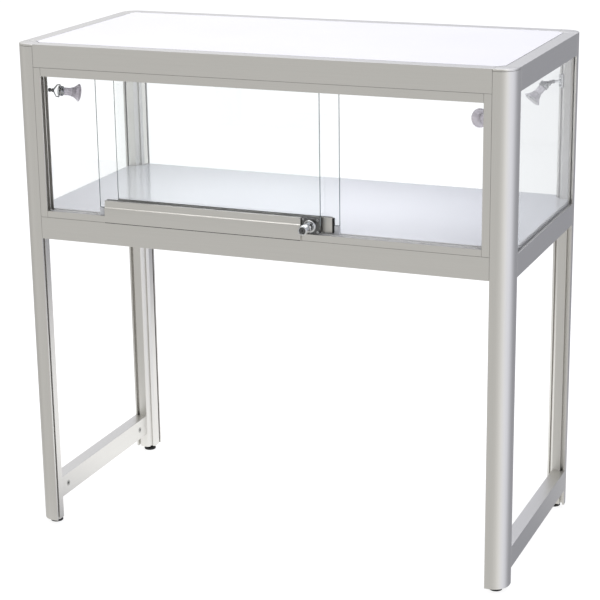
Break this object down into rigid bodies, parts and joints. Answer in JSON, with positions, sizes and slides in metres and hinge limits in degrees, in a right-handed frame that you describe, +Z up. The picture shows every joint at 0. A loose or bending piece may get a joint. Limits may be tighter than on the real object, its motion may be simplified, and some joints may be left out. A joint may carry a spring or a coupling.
{
  "type": "glass display showcase",
  "caption": "Counter-height glass display showcase: aluminium corner-post frame on an open leg frame, sliding glass doors with a plunger lock, reflector lamps and levelling feet.",
  "frame": {"origin": "on the floor under the middle of the bounding box", "axes": "+Z up, +Y away from the sliding doors towards the rear glass, +X to the right as seen from the door side"},
  "size_m": [1, 0.525, 1],
  "materials": {
    "anodised_aluminium": "satin silver anodised extrusion",
    "polished_chrome": "polished chrome plate",
    "clear_glass": "clear float glass with polished edges",
    "white_board": "white satin-gloss laminate",
    "deck_board": "pale glossy laminate",
    "black_rubber": "matt black rubber",
    "white_nylon": "white moulded nylon",
    "zinc_plated_steel": "zinc-plated steel",
    "lamp_glass": "coated reflector lamp glass"
  },
  "bodies": {
    "frame": {"post_front_left": "anodised_aluminium", "post_cap_front_left": "anodised_aluminium", "foot_insert_front_left": "zinc_plated_steel", "lamp_base_front_left": "polished_chrome", "post_front_right": "anodised_aluminium", "post_cap_front_right": "anodised_aluminium", "foot_insert_front_right": "zinc_plated_steel", "lamp_base_front_right": "polished_chrome", "post_rear_right": "anodised_aluminium", "post_cap_rear_right": "anodised_aluminium", "foot_insert_rear_right": "zinc_plated_steel", "lamp_base_rear_right": "polished_chrome", "post_rear_left": "anodised_aluminium", "post_cap_rear_left": "anodised_aluminium", "foot_insert_rear_left": "zinc_plated_steel", "lamp_base_rear_left": "polished_chrome", "top_rail_front": "anodised_aluminium", "deck_rail_front": "anodised_aluminium", "top_rail_right": "anodised_aluminium", "deck_rail_right": "anodised_aluminium", "top_rail_rear": "anodised_aluminium", "deck_rail_rear": "anodised_aluminium", "top_rail_left": "anodised_aluminium", "deck_rail_left": "anodised_aluminium", "stretcher_left": "anodised_aluminium", "stretcher_right": "anodised_aluminium", "door_track_bottom": "anodised_aluminium", "door_track_top": "anodised_aluminium", "door_jamb_left": "anodised_aluminium", "door_jamb_right": "anodised_aluminium", "glass_left": "clear_glass", "glass_right": "clear_glass", "glass_rear": "clear_glass", "top_panel": "white_board", "deck_panel": "deck_board"},
    "outer_door": {"outer_door_glass": "clear_glass", "outer_door_pull_rail": "anodised_aluminium", "outer_door_glide_leading": "white_nylon", "outer_door_glide_trailing": "white_nylon", "outer_door_bumper": "black_rubber", "lock_body": "polished_chrome"},
    "inner_door": {"inner_door_glass": "clear_glass", "inner_door_rail": "anodised_aluminium", "inner_door_glide_leading": "white_nylon", "inner_door_glide_trailing": "white_nylon", "inner_door_bumper": "black_rubber"},
    "lock_plunger_body": {"lock_plunger": "polished_chrome"},
    "lock_core_body": {"lock_core": "polished_chrome"},
    "foot_front_left": {"levelling_foot_front_left": "black_rubber"},
    "fork_front_left": {"lamp_fork_front_left": "polished_chrome"},
    "head_front_left": {"lamp_head_front_left": "lamp_glass"},
    "foot_front_right": {"levelling_foot_front_right": "black_rubber"},
    "fork_front_right": {"lamp_fork_front_right": "polished_chrome"},
    "head_front_right": {"lamp_head_front_right": "lamp_glass"},
    "foot_rear_right": {"levelling_foot_rear_right": "black_rubber"},
    "fork_rear_right": {"lamp_fork_rear_right": "polished_chrome"},
    "head_rear_right": {"lamp_head_rear_right": "lamp_glass"},
    "foot_rear_left": {"levelling_foot_rear_left": "black_rubber"},
    "fork_rear_left": {"lamp_fork_rear_left": "polished_chrome"},
    "head_rear_left": {"lamp_head_rear_left": "lamp_glass"}
  },
  "joints": [
    {"name": "outer_door_slide", "type": "slide", "parent": "frame", "child": "outer_door", "axis": [1, 0, 0], "range_m": [-0.1257, 0.3125]},
    {"name": "inner_door_slide", "type": "slide", "parent": "frame", "child": "inner_door", "axis": [1, 0, 0], "range_m": [-0.1487, 0.2897]},
    {"name": "lock_plunger_push", "type": "slide", "parent": "outer_door", "child": "lock_plunger_body", "axis": [0, 1, 0], "range_m": [0, 0.007], "stiffness_N_per_m": 300},
    {"name": "lock_core_turn", "type": "hinge", "parent": "lock_plunger_body", "child": "lock_core_body", "pos_m": [0.113, -0.2425, 0.6888], "axis": [0, 1, 0], "range_deg": [0, 90]},
    {"name": "lamp_swivel_front_left", "type": "hinge", "parent": "frame", "child": "fork_front_left", "pos_m": [-0.452, -0.1745, 0.904], "axis": [0.6964, 0.6964, -0.1736], "range_deg": [-90, 90]},
    {"name": "lamp_tilt_front_left", "type": "hinge", "parent": "fork_front_left", "child": "head_front_left", "pos_m": [-0.43946, -0.16196, 0.90087], "axis": [0.1228, 0.1228, 0.9848], "range_deg": [-60, 60]},
    {"name": "lamp_swivel_front_right", "type": "hinge", "parent": "frame", "child": "fork_front_right", "pos_m": [0.452, -0.1745, 0.904], "axis": [-0.6964, 0.6964, -0.1736], "range_deg": [-90, 90]},
    {"name": "lamp_tilt_front_right", "type": "hinge", "parent": "fork_front_right", "child": "head_front_right", "pos_m": [0.43946, -0.16196, 0.90087], "axis": [-0.1228, 0.1228, 0.9848], "range_deg": [-60, 60]},
    {"name": "lamp_swivel_rear_right", "type": "hinge", "parent": "frame", "child": "fork_rear_right", "pos_m": [0.452, 0.2145, 0.904], "axis": [-0.6964, -0.6964, -0.1736], "range_deg": [-90, 90]},
    {"name": "lamp_tilt_rear_right", "type": "hinge", "parent": "fork_rear_right", "child": "head_rear_right", "pos_m": [0.43946, 0.20197, 0.90087], "axis": [0.7071, -0.7071, 0], "range_deg": [-95, 25]},
    {"name": "lamp_swivel_rear_left", "type": "hinge", "parent": "frame", "child": "fork_rear_left", "pos_m": [-0.452, 0.2145, 0.904], "axis": [0.6964, -0.6964, -0.1736], "range_deg": [-90, 90]},
    {"name": "lamp_tilt_rear_left", "type": "hinge", "parent": "fork_rear_left", "child": "head_rear_left", "pos_m": [-0.43946, 0.20197, 0.90087], "axis": [0.7071, 0.7071, 0], "range_deg": [-80, 40]},
    {"name": "foot_screw_front_left", "type": "slide", "parent": "frame", "child": "foot_front_left", "axis": [0, 0, -1], "range_m": [0, 0.012]},
    {"name": "foot_screw_front_right", "type": "slide", "parent": "frame", "child": "foot_front_right", "axis": [0, 0, -1], "range_m": [0, 0.012]},
    {"name": "foot_screw_rear_right", "type": "slide", "parent": "frame", "child": "foot_rear_right", "axis": [0, 0, -1], "range_m": [0, 0.012]},
    {"name": "foot_screw_rear_left", "type": "slide", "parent": "frame", "child": "foot_rear_left", "axis": [0, 0, -1], "range_m": [0, 0.012]}
  ]
}
